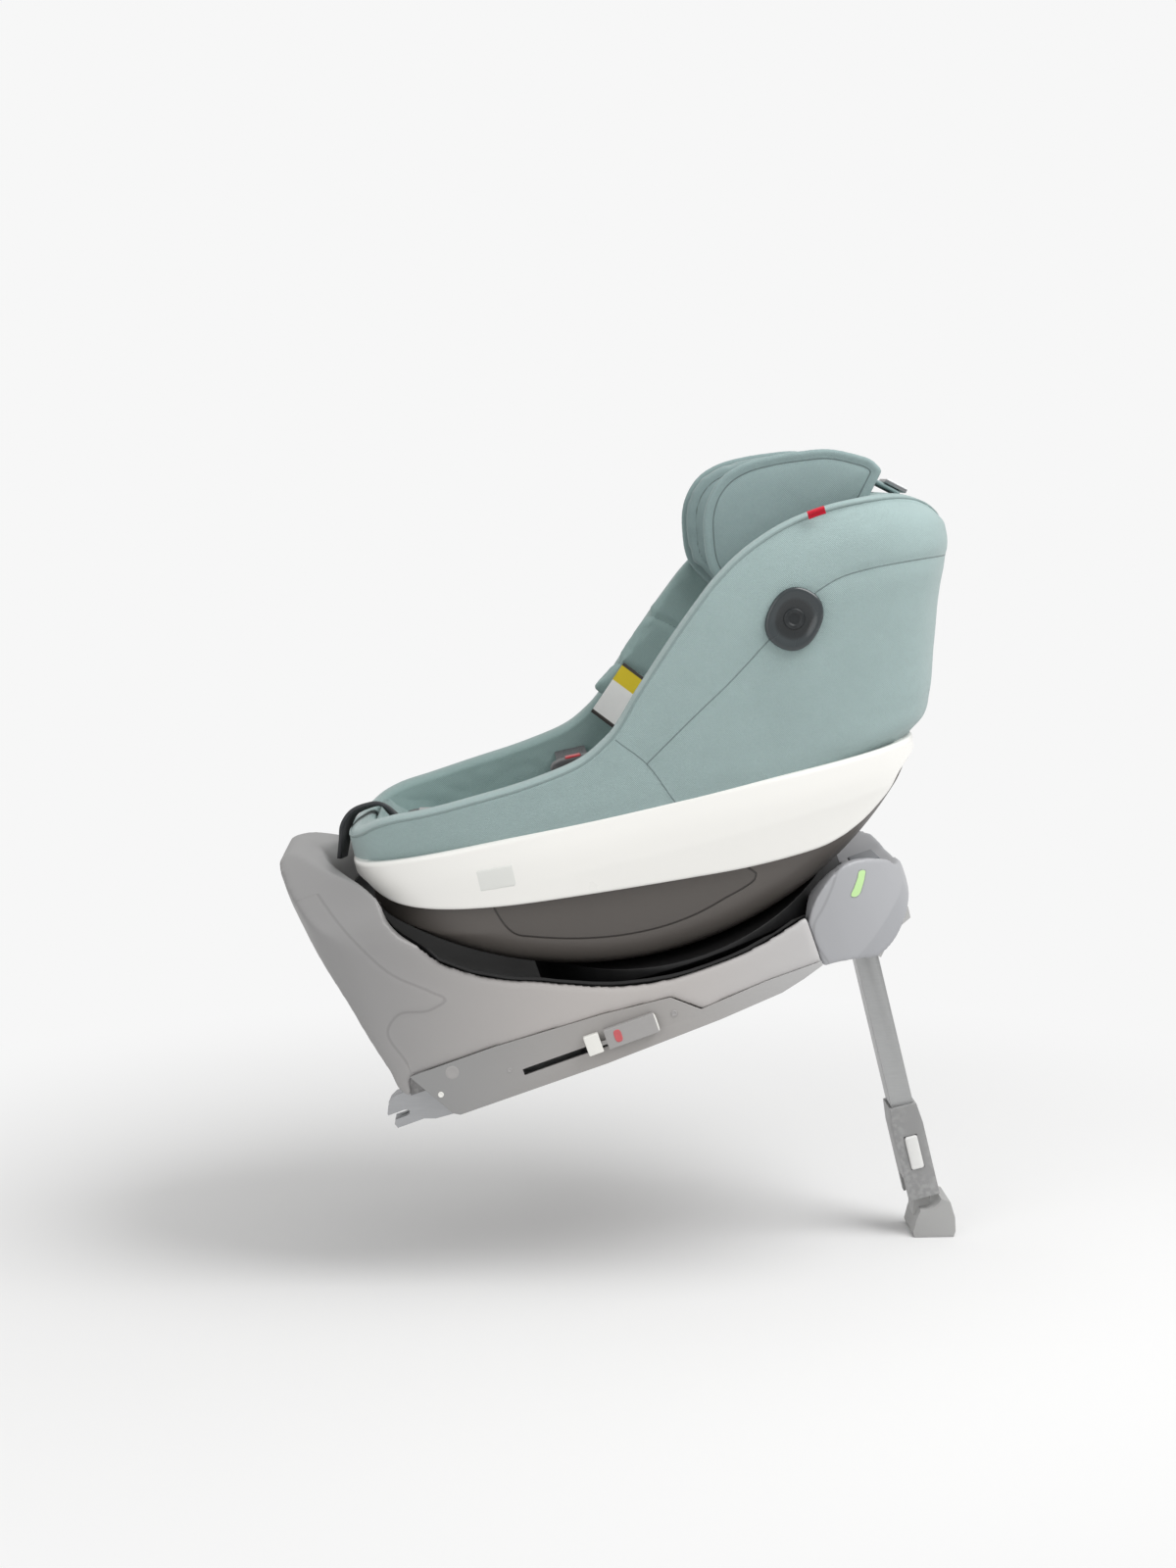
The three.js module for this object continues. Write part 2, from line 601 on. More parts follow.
function baseChassis() {
  const outline = scaled(CHASSIS_OUTLINE_SHARES, BASE_LENGTH, BASE_HEIGHT);
  const outer = slabY(outline, -BASE_HALF_WIDTH, BASE_HALF_WIDTH);
  const inside = BASE_HALF_WIDTH - SHELL_WALL;
  const floor = CHASSIS_LOW + SHELL_WALL;
  const tray = block([0.1 * BASE_LENGTH, BASE_LENGTH], [-inside, inside], [floor, BASE_HEIGHT]);
  const wallHalf = RECESS_HALF + RECESS_WALL;
  const cover = keep(
    outer,
    block([0.16 * BASE_LENGTH, BASE_LENGTH], [-wallHalf, wallHalf], [-BASE_HEIGHT, RECESS_TOP + RECESS_WALL]),
  );
  const recess = block(
    [0.165 * BASE_LENGTH, BASE_LENGTH], [-RECESS_HALF, RECESS_HALF], [-BASE_HEIGHT, RECESS_TOP],
  );
  const channels = [-1, 1].flatMap((side) => {
    const [low, high] = armRangeY(side);
    const bottom = ARM_BOTTOM - RUNNING;
    const top = ARM_BOTTOM + ARM_HEIGHT + RUNNING;
    const stem = (ARM_BOTTOM + ARM_HEIGHT / 2);
    const start = UNIT_X + UNIT_LENGTH / 2 - ARM_TRAVEL - UNIT_STEM - RUNNING;
    const end = UNIT_X + UNIT_LENGTH / 2 + UNIT_STEM + RUNNING;
    const reach = side * (BASE_HALF_WIDTH + OVERRUN);
    const jawHalf = JAW_HEIGHT / 2 + RUNNING;
    return [
      block([-OVERRUN, 0.12 * BASE_LENGTH], [low - RUNNING, high + RUNNING], [bottom, top]),
      block([-OVERRUN, 0.73 * JAW_LENGTH], [low - RUNNING, high + RUNNING], [-jawHalf, jawHalf]),
      block(
        [start, end], side > 0 ? [high, reach] : [reach, low],
        [stem - UNIT_STEM / 2 - RUNNING, stem + UNIT_STEM / 2 + RUNNING],
      ),
    ];
  });
  return cut(join(cut(outer, tray), cover), recess, ...channels);
}

function steelFrame() {
  const railTop = PLATE_Z - PLATE_THICK / 2;
  const railBottom = Math.max(PLATE_Z - PLATE_THICK - RAIL_HEIGHT, CHASSIS_LOW + SHELL_WALL + GAP);
  const rails = [-1, 1].map((side) => block(
    [FRAME_X, FRAME_X + FRAME_LENGTH],
    [side * RAIL_Y - RAIL_WIDTH / 2, side * RAIL_Y + RAIL_WIDTH / 2], [railBottom, railTop],
  ));
  const bottom = PLATE_Z - PLATE_THICK;
  const railHalf = RAIL_WIDTH / 2 - RAIL_WALL;
  const rooms = [-1, 1].map((side) => block(
    [FRAME_X + RAIL_WIDTH, FRAME_X + FRAME_LENGTH + OVERRUN],
    [side * RAIL_Y - railHalf, side * RAIL_Y + railHalf], [railBottom + RAIL_WALL, bottom - RAIL_WALL],
  ));
  const inner = HUB_RADIUS + RUNNING;
  const plate = turnedZ(
    [[inner, bottom], [PLATE_HALF, bottom], [PLATE_HALF, PLATE_Z], [inner, PLATE_Z], [inner, bottom]],
    SWIVEL_X,
  );
  const clear = HUB_FLANGE + RUNNING;
  const flangeRoom = turnedZ(
    [[0, -BASE_HEIGHT], [clear, -BASE_HEIGHT], [clear, bottom], [0, bottom]], SWIVEL_X,
  );
  const crossHalf = ARM_SPACING / 2 - ARM_WIDTH / 2 - 2 * RUNNING;
  const cross = block(
    [FRAME_X, FRAME_X + RAIL_WIDTH], [-crossHalf, crossHalf],
    [RECESS_TOP + RECESS_WALL + GAP, railTop + RAIL_WIDTH / 2],
  );
  return cut(join(...rails, plate, cross), flangeRoom, ...rooms);
}

function bearingRace() {
  const low = PLATE_Z + GAP;
  const high = TURN_BOTTOM - GAP;
  return turnedZ(
    [[RACE_INNER, low], [RACE_OUTER, low], [RACE_OUTER, high], [RACE_INNER, high], [RACE_INNER, low]],
    SWIVEL_X,
  );
}

function legHinge() {
  const tilt = THREE.MathUtils.degToRad(BASE_TILT);
  return [
    LEG_HINGE_X * Math.cos(tilt) + LEG_HINGE_Z * Math.sin(tilt),
    LEG_HINGE_Z * Math.cos(tilt) - LEG_HINGE_X * Math.sin(tilt),
  ];
}

function endCap() {
  const outer = cut(capSolid(0), bowl(GAP, CAP_BOWL_SHARES), capDip(0));
  const hollow = cut(capSolid(CAP_WALL), bowl(GAP + CAP_WALL, CAP_BOWL_SHARES), capDip(CAP_WALL));
  const railReach = RAIL_Y + RAIL_WIDTH / 2 + RUNNING;
  const railRoom = block(
    [CAP_X - OVERRUN, FRAME_X + FRAME_LENGTH + EAR_THICK + RUNNING], [-railReach, railReach],
    [-CAP_HEIGHT, PLATE_Z + RUNNING],
  );
  const legHalf = LEG_WIDTH / 2 + EAR_THICK + RUNNING + GAP;
  const legRoom = block(
    [CAP_X - OVERRUN, CAP_X + CAP_LENGTH + OVERRUN], [-legHalf, legHalf], [-CAP_HEIGHT, PLATE_Z + RUNNING],
  );
  return cut(outer, hollow, wellRoom(), railRoom, legRoom, keyPocket(), lensPocket(-1), lensPocket(1));
}

function capSolid(inset) {
  return keep(
    slabY(capOutline(inset), -CAP_HALF_WIDTH, CAP_HALF_WIDTH), slabZ(capPlan(inset), -CAP_HEIGHT, CAP_HEIGHT),
  );
}

function capOutline(inset) {
  const share = 1 - (2 * inset) / CAP_LENGTH;
  const middle = CAP_X + CAP_LENGTH / 2;
  return scaled(CAP_OUTLINE_SHARES, CAP_LENGTH, CAP_HEIGHT)
    .map(([x, z]) => [middle + (x + CAP_X + GAP - middle) * share, z + CAP_LOW - inset]);
}

function capPlan(inset) {
  const share = 1 - (2 * inset) / CAP_LENGTH;
  const middle = CAP_X + CAP_LENGTH / 2;
  return mirrored(CAP_PLAN_SHARES, CAP_LENGTH, CAP_HALF_WIDTH)
    .map(([x, y]) => [middle + (x + CAP_X + GAP - middle) * share, y * share]);
}

// Between its two shoulders the cap's top dips, seen from the leg.
function capDip(drop) {
  const near = CAP_DIP_SHARES.map(([a, b]) => [-a * CAP_HALF_WIDTH, b * CAP_HEIGHT - drop]);
  const far = CAP_DIP_SHARES.map(([a, b]) => [a * CAP_HALF_WIDTH, b * CAP_HEIGHT - drop]).reverse();
  return slabX([...near, ...far], CAP_X - OVERRUN, CAP_X + CAP_LENGTH + OVERRUN);
}

// The key sits in the dip of the cap's top, and a lens on each of its shoulders.
function keyBox(grow, low) {
  const x = CAP_X + 0.8 * CAP_LENGTH;
  return block(
    [x - KEY_LENGTH / 2 - grow, x + KEY_LENGTH / 2 + grow],
    [-KEY_WIDTH / 2 - grow, KEY_WIDTH / 2 + grow], [CAP_DIP - low, CAP_DIP + KEY_PROUD + grow],
  );
}

function keyPocket() {
  return keyBox(GAP, OVERRUN);
}

function lensSlab(side, grow) {
  const points = scaled(LENS_OUTLINE_SHARES, CAP_LENGTH, CAP_HEIGHT)
    .map(([x, z]) => [x + CAP_X, z + CAP_LOW]);
  const middle = [0, 1].map((axis) => points.reduce((sum, p) => sum + p[axis], 0) / points.length);
  const grown = points.map((p) => {
    const reach = Math.hypot(p[0] - middle[0], p[1] - middle[1]);
    return p.map((v, axis) => v + ((v - middle[axis]) * grow) / reach);
  });
  return side > 0 ? slabY(grown, 0, CAP_HALF_WIDTH) : slabY(grown, -CAP_HALF_WIDTH, 0);
}

function lens(side) {
  return cut(keep(lensSlab(side, 0), capSolid(0)), capSolid(LENS_THICK));
}

function lensPocket(side) {
  return cut(lensSlab(side, 2 * GAP), capSolid(LENS_THICK + GAP));
}

function legBracket() {
  const half = LEG_WIDTH / 2 + RUNNING;
  const [x, z] = legHinge();
  const top = RECESS_TOP + RECESS_WALL + EAR_THICK;
  const start = FRAME_X + FRAME_LENGTH + GAP;
  const outline = scaled(EAR_OUTLINE_SHARES, EAR_LENGTH, EAR_DROP).map(([a, b]) => [start + a, b]);
  const ears = [-1, 1].map((side) => {
    const inner = side * half;
    const outer = side * (half + EAR_THICK);
    return slabY(outline, Math.min(inner, outer), Math.max(inner, outer));
  });
  const flange = block(
    [start, start + EAR_THICK], [-RAIL_Y - RAIL_WIDTH / 2, RAIL_Y + RAIL_WIDTH / 2],
    [RECESS_TOP - EAR_THICK, top],
  );
  const roof = block(
    [start, start + EAR_LENGTH * 0.8], [-half - EAR_THICK, half + EAR_THICK], [top - EAR_THICK, top],
  );
  const pin = pinY(LEG_PIN_RADIUS, -half - EAR_THICK, half + EAR_THICK, x, z);
  return join(...ears, flange, roof, pin);
}

// Anchor arms
function isofixArm(side) {
  const [low, high] = armRangeY(side);
  const jaw = slabY(scaled(JAW_OUTLINE_SHARES, JAW_LENGTH, JAW_HEIGHT), low, high);
  const bar = block(
    [0.6 * JAW_LENGTH, ARM_LENGTH + JAW_LENGTH / 2], [low, high], [ARM_BOTTOM, ARM_BOTTOM + ARM_HEIGHT],
  );
  const hookHalf = HOOK_WIDTH / 2 + RUNNING;
  const middle = (side * ARM_SPACING) / 2;
  const room = block(
    [-0.3 * JAW_LENGTH, 0.5 * JAW_LENGTH], [middle - hookHalf, middle + hookHalf],
    [-0.25 * JAW_HEIGHT, JAW_HEIGHT],
  );
  const pin = pinY(HOOK_BORE, low, high, hookX(), hookZ(), 12);
  const window = block(
    [UNIT_X + UNIT_LENGTH / 2 - UNIT_STEM, UNIT_X + UNIT_LENGTH / 2 + UNIT_STEM],
    side > 0 ? [middle, high + OVERRUN] : [low - OVERRUN, middle],
    [ARM_BOTTOM + ARM_HEIGHT / 2 - UNIT_STEM / 2, ARM_BOTTOM + ARM_HEIGHT / 2 + UNIT_STEM / 2],
  );
  const inside = block(
    [JAW_LENGTH, ARM_LENGTH + JAW_LENGTH], [low + ARM_WALL, high - ARM_WALL],
    [ARM_BOTTOM + ARM_WALL, ARM_BOTTOM + ARM_HEIGHT - ARM_WALL],
  );
  return cut(join(cut(join(jaw, bar), room), pin), window, inside);
}

function hookX() {
  return 0.22 * JAW_LENGTH;
}

function hookZ() {
  return 0.27 * JAW_HEIGHT;
}

function isofixHook(side) {
  const middle = (side * ARM_SPACING) / 2;
  const low = middle - HOOK_WIDTH / 2;
  const high = middle + HOOK_WIDTH / 2;
  const disc = pinY(HOOK_RADIUS * 0.75, low, high, hookX(), hookZ(), 20);
  const outline = scaled(CLAW_OUTLINE_SHARES, HOOK_RADIUS, HOOK_RADIUS);
  const claw = slabY(outline.map(([x, z]) => [x + hookX(), z + hookZ()]), low, high);
  const bore = pinY(HOOK_BORE + GAP / 3, low - RUNNING, high + RUNNING, hookX(), hookZ(), 12);
  return cut(join(disc, claw), bore);
}

function unitY(side) {
  const inner = side * (BASE_HALF_WIDTH + RUNNING);
  const outer = side * (BASE_HALF_WIDTH + RUNNING + UNIT_THICK);
  return side > 0 ? [inner, outer] : [outer, inner];
}

function unitZ() {
  const middle = ARM_BOTTOM + ARM_HEIGHT / 2 + UNIT_STEM;
  return [middle - UNIT_HEIGHT / 2, middle + UNIT_HEIGHT / 2];
}

function isofixUnit(side) {
  const body = block([UNIT_X + RELEASE_LENGTH, UNIT_X + UNIT_LENGTH], unitY(side), unitZ());
  const middle = (side * ARM_SPACING) / 2;
  const stemZ = ARM_BOTTOM + ARM_HEIGHT / 2;
  const reach = side * (BASE_HALF_WIDTH + 2 * RUNNING);
  const stem = block(
    [UNIT_X + UNIT_LENGTH / 2 - UNIT_STEM + GAP, UNIT_X + UNIT_LENGTH / 2 + UNIT_STEM - GAP],
    side > 0 ? [middle + GAP, reach] : [reach, middle - GAP],
    [stemZ - UNIT_STEM / 2 + GAP, stemZ + UNIT_STEM / 2 - GAP],
  );
  const [y0, y1] = unitY(side);
  const tongue = block(
    [UNIT_X + RELEASE_TRAVEL, UNIT_X + RELEASE_LENGTH + RUNNING], [y0 + UNIT_THICK / 3, y1 - UNIT_THICK / 3],
    [stemZ, stemZ + UNIT_STEM],
  );
  return join(body, stem, tongue);
}

function isofixRelease(side) {
  const [y0, y1] = unitY(side);
  const stemZ = ARM_BOTTOM + ARM_HEIGHT / 2;
  const body = block(
    [UNIT_X - RELEASE_TRAVEL, UNIT_X + RELEASE_LENGTH - RELEASE_TRAVEL - GAP], [y0, y1], unitZ(),
  );
  const room = block(
    [UNIT_X - RELEASE_TRAVEL / 2, UNIT_X + UNIT_LENGTH],
    [y0 + UNIT_THICK / 3 - GAP, y1 - UNIT_THICK / 3 + GAP], [stemZ - GAP, stemZ + UNIT_STEM + GAP],
  );
  return cut(body, room);
}

// Support leg, in its own frame: the hinge at the origin and the leg along -Z.
function legTube() {
  const length = LEG_LENGTH - FOOT_HEIGHT - SLEEVE_LENGTH + LEG_OVERLAP;
  const depth = LEG_DEPTH / 2;
  const half = LEG_WIDTH / 2;
  const outer = block([-depth, depth], [-half, half], [-length, LEG_TOP_REACH]);
  const inner = block(
    [-depth + LEG_WALL, depth - LEG_WALL], [-half + LEG_WALL, half - LEG_WALL],
    [-length - RUNNING, LEG_TOP_REACH + RUNNING],
  );
  const bore = pinY(LEG_PIN_RADIUS + GAP / 3, -LEG_WIDTH, LEG_WIDTH, 0, 0);
  return cut(outer, inner, bore);
}

function sleeveTop() {
  return -(LEG_LENGTH - FOOT_HEIGHT - SLEEVE_LENGTH);
}

function buttonBox(grow, depth) {
  const z = sleeveTop() - SLEEVE_LENGTH / 2;
  const face = -SLEEVE_WIDTH / 2 + BUTTON_SEAT;
  return block(
    [-BUTTON_WIDTH / 2 - grow, BUTTON_WIDTH / 2 + grow], [face - BUTTON_THICK, face + depth],
    [z - BUTTON_LENGTH / 2 - grow, z + BUTTON_LENGTH / 2 + grow],
  );
}

function legSleeve() {
  const top = sleeveTop();
  const depth = SLEEVE_DEPTH / 2;
  const outline = [
    [-depth, top - SLEEVE_SHOULDER], [-LEG_DEPTH / 2 - LEG_WALL, top], [LEG_DEPTH / 2 + LEG_WALL, top],
    [depth, top - SLEEVE_SHOULDER], [depth, top - SLEEVE_LENGTH], [-depth, top - SLEEVE_LENGTH],
  ];
  const outer = slabY(outline, -SLEEVE_WIDTH / 2, SLEEVE_WIDTH / 2);
  const bore = block(
    [-LEG_DEPTH / 2 - GAP, LEG_DEPTH / 2 + GAP], [-LEG_WIDTH / 2 - GAP, LEG_WIDTH / 2 + GAP],
    [top - SLEEVE_LENGTH + FOOT_TONGUE, top + RUNNING],
  );
  const fork = block(
    [-SLEEVE_DEPTH, SLEEVE_DEPTH], [-FOOT_TONGUE / 2 - GAP, FOOT_TONGUE / 2 + GAP],
    [top - SLEEVE_LENGTH - RUNNING, top - SLEEVE_LENGTH + FOOT_TONGUE - SHELL_WALL],
  );
  const pinZ = top - SLEEVE_LENGTH + FOOT_PIN_DROP;
  const pin = pinY(FOOT_PIN_RADIUS, -SLEEVE_WIDTH / 2, SLEEVE_WIDTH / 2, 0, pinZ);
  return join(cut(outer, bore, fork, buttonBox(GAP, BUTTON_TRAVEL + GAP)), pin);
}

function footPlace() {
  const lean = THREE.MathUtils.degToRad(LEG_LEAN);
  const reach = LEG_LENGTH - FOOT_HEIGHT - FOOT_PIN_DROP;
  return [LEG_HINGE_X + reach * Math.sin(lean), LEG_HINGE_Z - reach * Math.cos(lean)];
}

// Foot, with its pivot at the frame's origin and a level sole.
function legFoot() {
  const drop = FOOT_HEIGHT + FOOT_PIN_DROP;
  const outline = scaled(FOOT_OUTLINE_SHARES, FOOT_LENGTH, FOOT_HEIGHT)
    .map(([x, z]) => [x + FOOT_LENGTH / 4, z - drop]);
  const body = slabY(outline, -FOOT_WIDTH / 2, FOOT_WIDTH / 2);
  const lug = block(
    [-FOOT_TONGUE / 3, FOOT_TONGUE / 3], [-FOOT_TONGUE / 2, FOOT_TONGUE / 2],
    [-drop * 0.6, FOOT_PIN_RADIUS * 2],
  );
  const room = pinY(
    SLEEVE_DEPTH * 0.62, -FOOT_WIDTH, FOOT_WIDTH, 0, 0,
  );
  const bore = pinY(FOOT_PIN_RADIUS + GAP / 3, -FOOT_WIDTH, FOOT_WIDTH, 0, 0);
  return cut(join(cut(body, room), lug), bore);
}

// Turntable and bucket
function reclineSolid(radius, half, steps = 80) {
  const profile = HULL_SECTION_SHARES.map(([r, y]) => [r * radius, y * half]);
  const low = [...profile].map(([r, y]) => [r, -y]).reverse();
  return (x, z) => turnedY([[0, half], ...profile, ...low, [0, -half]].reverse(), x, z, steps);
}

function turntable() {
  const profile = BOWL_SHARES.filter(([r]) => r * BOWL_RADIUS < TURN_RADIUS && r > 0.43)
    .map(([r, h]) => [r * BOWL_RADIUS, h * BOWL_HEIGHT + 2 * LINER_WALL + RUNNING]);
  const dish = turnedZ(
    [[0, TURN_BOTTOM], [WELL_RADIUS - 2 * RUNNING, TURN_BOTTOM], ...profile,
      [TURN_RADIUS, 0.16 * BOWL_HEIGHT + 2 * LINER_WALL + RUNNING], [TURN_RADIUS, TURN_TOP], [0, TURN_TOP]],
    SWIVEL_X, 54,
  );
  const radius = HULL_RADIUS + RUNNING;
  const seatRoom = pinY(radius, -TURN_RADIUS - OVERRUN, TURN_RADIUS + OVERRUN, SWIVEL_X, RECLINE_HEIGHT, 144);
  const clip = block(
    [SWIVEL_X - TURN_RADIUS, SWIVEL_X + TURN_RADIUS], [-HULL_HALF_WIDTH, HULL_HALF_WIDTH],
    [0, BASE_HEIGHT],
  );
  return keep(cut(dish, seatRoom), clip);
}

function swivelHub() {
  const low = PLATE_Z - PLATE_THICK - GAP;
  return turnedZ(
    [[0, low - HUB_FLANGE_THICK], [HUB_FLANGE, low - HUB_FLANGE_THICK], [HUB_FLANGE, low],
      [HUB_RADIUS, low], [HUB_RADIUS, TURN_BOTTOM - GAP], [0, TURN_BOTTOM - GAP]],
    SWIVEL_X, 32,
  );
}

// An arc about the recline axis, spanning an angle each way from straight down.
function arcBar(inner, outer, span, low, high, x, z) {
  const steps = 14;
  const points = [];
  for (const [radius, sign] of [[outer, 1], [inner, -1]]) {
    for (let i = 0; i <= steps; i += 1) {
      const turn = THREE.MathUtils.degToRad(sign * span * ((2 * i) / steps - 1));
      points.push([x + radius * Math.sin(turn), z - radius * Math.cos(turn)]);
    }
  }
  return slabY(points, low, high);
}

function trackY(side, grow) {
  return [side * TRACK_Y - TRACK_WIDTH / 2 - grow, side * TRACK_Y + TRACK_WIDTH / 2 + grow];
}

function reclineTrack(side) {
  const [low, high] = trackY(side, 0);
  const outer = HULL_RADIUS + RUNNING - GAP;
  return arcBar(outer - TRACK_RISE, outer, TRACK_SPAN, low, high, SWIVEL_X, RECLINE_HEIGHT);
}

// The recline axis in the seat's frame.
function reclineCentre() {
  const turn = THREE.MathUtils.degToRad(BASE_TILT - SEAT_TILT);
  return [
    SWIVEL_X * Math.cos(turn) - RECLINE_HEIGHT * Math.sin(turn),
    SWIVEL_X * Math.sin(turn) + RECLINE_HEIGHT * Math.cos(turn),
  ];
}

function planRing(frontX, rearX, half, power = 3.2) {
  return roundedRing((frontX + rearX) / 2, 0, (rearX - frontX) / 2, half, power, 44);
}

function bucketLevels(levels, z0, z1, inset) {
  return loft(levels.map(([height, reach, spread]) => {
    const front = BUCKET_FRONT + inset;
    const rear = BUCKET_FRONT + BUCKET_LENGTH * reach - inset;
    const ring = planRing(front, rear, BUCKET_HALF_WIDTH * spread - inset, 3.2 + height * Math.abs(height));
    return ring.map(([x, y]) => [x, y, z0 + (z1 - z0) * height]);
  }));
}

function hullShell() {
  const [cx, cz] = reclineCentre();
  const inset = BAND_THICK + GAP;
  const front = BUCKET_FRONT + inset;
  const rear = BUCKET_FRONT + BUCKET_LENGTH - inset;
  const solidAt = (wall, steps) => keep(
    reclineSolid(HULL_RADIUS - wall, HULL_HALF_WIDTH - wall, steps)(cx, cz),
    slabZ(planRing(front + wall, rear - wall, HULL_HALF_WIDTH - wall), -BAND_TOP, HULL_TOP + wall),
  );
  const grooves = [-1, 1].map((side) => {
    const [low, high] = trackY(side, GAP);
    return arcBar(
      HULL_RADIUS - TRACK_RISE - 2 * RUNNING, HULL_RADIUS + RUNNING, 2 * TRACK_SPAN, low, high, cx, cz,
    );
  });
  return cut(solidAt(0, 80), solidAt(HULL_WALL, 48), ...grooves);
}

function seatBand() {
  const [cx, cz] = reclineCentre();
  const height = BAND_TOP - BAND_LOW;
  const low = BAND_LOW_SHARES.map(([a, b]) => [BUCKET_FRONT + a * BUCKET_LENGTH, BAND_LOW + b * height]);
  const side = [...low, [BUCKET_LENGTH + OVERRUN, BAND_TOP], [-OVERRUN, BAND_TOP]];
  const outer = keep(
    bucketLevels(BAND_LEVEL_SHARES, BAND_LOW, BAND_TOP, 0),
    slabY(side, -BUCKET_HALF_WIDTH, BUCKET_HALF_WIDTH),
    turnedY(
      [[0, -BUCKET_HALF_WIDTH], [HULL_RADIUS, -BUCKET_HALF_WIDTH], [HULL_RADIUS, BUCKET_HALF_WIDTH],
        [0, BUCKET_HALF_WIDTH]],
      cx, cz, 120,
    ),
  );
  const inner = slabZ(
    planRing(BUCKET_FRONT + BAND_THICK, BUCKET_FRONT + BUCKET_LENGTH - BAND_THICK, HULL_HALF_WIDTH + GAP),
    0, BAND_TOP + OVERRUN,
  );
  return cut(outer, inner);
}

function rimOutline(drop) {
  return scaled(RIM_OUTLINE_SHARES, BUCKET_LENGTH, RIM_HEIGHT - BAND_TOP)
    .map(([x, z]) => [x + BUCKET_FRONT, z === 0 ? BAND_TOP - OVERRUN : z + BAND_TOP - drop]);
}

function cavity(wall, halfWidth) {
  const slope = THREE.MathUtils.degToRad(BACK_SLOPE);
  const reach = BACK_LENGTH * 1.6;
  const shiftX = wall * Math.sin(slope);
  const shiftZ = -wall * Math.cos(slope);
  const outline = CAVITY_OUTLINE_SHARES.map(([a, b]) => [
    CAVITY_FRONT + a * CAVITY_LENGTH - (a === 0 ? wall : 0),
    BIGHT_Z - PAD_THICK + b * (RIM_HEIGHT - BAND_TOP) - (b < 0.3 ? wall : 0),
  ]);
  const side = [
    ...outline,
    [BIGHT_X + shiftX, BIGHT_Z + shiftZ],
    [BIGHT_X + shiftX + reach * Math.cos(slope), BIGHT_Z + shiftZ + reach * Math.sin(slope)],
    [CAVITY_FRONT - wall, BIGHT_Z + reach * Math.sin(slope)],
  ];
  const rear = CAVITY_FRONT + CAVITY_LENGTH + wall + OVERRUN;
  const plan = planRing(CAVITY_FRONT - wall, rear, halfWidth + wall, 4);
  return keep(slabY(side, -halfWidth - wall, halfWidth + wall), slabZ(plan, 0, RIM_HEIGHT * 2));
}

function seatShell() {
  const lower = BAND_TOP + GAP;
  const hide = COVER_THICK + GAP;
  const half = BUCKET_HALF_WIDTH + OVERRUN;
  const upper = keep(
    bucketLevels(COVER_LEVEL_SHARES, lower, RIM_HEIGHT, hide), slabY(rimOutline(SKIN), -half, half),
  );
  const pan = cavity(LINING + PAN_WALL, CAVITY_HALF_WIDTH);
  const panPlan = planRing(
    BUCKET_FRONT + 2 * BAND_THICK + PAN_WALL, BUCKET_FRONT + BUCKET_LENGTH - 4 * BAND_THICK,
    CAVITY_HALF_WIDTH + LINING + PAN_WALL,
  );
  const tub = keep(pan, slabZ(panPlan, 0, BAND_TOP + SKIN));
  const rearX = BUCKET_FRONT + BUCKET_LENGTH - 2 * BAND_THICK;
  const behind = keep(
    bucketLevels(HOLLOW_LEVEL_SHARES, -OVERRUN, RIM_HEIGHT, hide + PAN_WALL),
    slabY(rimOutline(SKIN + PAN_WALL), -half, half),
    block([BIGHT_X * 0.75, rearX * 2], [-half, half], [-half, RIM_HEIGHT * 2]),
  );
  const sockets = [-1, 1].map((side) => socketSolid(side, GAP, SOCKET_THICK + SKIN));
  const bosses = [-1, 1].map((side) => socketSolid(side, PAN_WALL, SOCKET_THICK + SKIN + PAN_WALL));
  return cut(
    join(upper, tub), cavity(LINING + GAP, CAVITY_HALF_WIDTH), cut(behind, pan, ...bosses),
    ...sockets, ...guideSlots(),
  );
}

// The fabric that lines the bucket's inside.
function innerLining() {
  const whole = cut(cavity(LINING, CAVITY_HALF_WIDTH), cavity(0, CAVITY_HALF_WIDTH));
  const low = slabY(rimOutline(2 * SKIN), -BUCKET_HALF_WIDTH, BUCKET_HALF_WIDTH);
  return cut(keep(whole, low), ...guideSlots());
}

// The fabric over the shell, split at its sewn seams.
function coverSkin() {
  const outer = bucketLevels(COVER_LEVEL_SHARES, BAND_TOP + GAP, RIM_HEIGHT, 0);
  const levels = [[-0.1, ...COVER_LEVEL_SHARES[0].slice(1)], ...COVER_LEVEL_SHARES];
  const inner = bucketLevels(levels, BAND_TOP + GAP, RIM_HEIGHT, COVER_THICK);
  return keep(
    cut(outer, inner),
    slabY(rimOutline(SKIN), -BUCKET_HALF_WIDTH - OVERRUN, BUCKET_HALF_WIDTH + OVERRUN),
  );
}

const skin = coverSkin();
const FAR = BUCKET_LENGTH * 2;

function seam(shares, shiftX = 0, shiftZ = 0) {
  return scaled(shares, BUCKET_LENGTH, RIM_HEIGHT - BAND_TOP)
    .map(([x, z]) => [x + BUCKET_FRONT + shiftX, z + BAND_TOP + shiftZ]);
}

function frontCover() {
  const region = [[-FAR, FAR], [-FAR, -FAR], ...seam(FRONT_SEAM_SHARES, -2 * GAP).reverse()];
  return keep(skin, slabY(region, -FAR, FAR));
}

// Below the long seam that runs from the front seam through the sockets to the back.
function lowerRegion() {
  const front = seam(FRONT_SEAM_SHARES.slice(2)).reverse();
  const long = seam(CAP_SEAM_SHARES, 0, -2 * GAP).slice(1);
  return slabY([...front, ...long, [FAR, long[long.length - 1][1]], [FAR, -FAR]], -FAR, FAR);
}

function sideCover(side) {
  const half = block([-FAR, REAR_SEAM_X], side > 0 ? [0, FAR] : [-FAR, 0], [-FAR, FAR]);
  return cut(keep(skin, lowerRegion(), half), socketSolid(side, GAP, SOCKET_THICK));
}

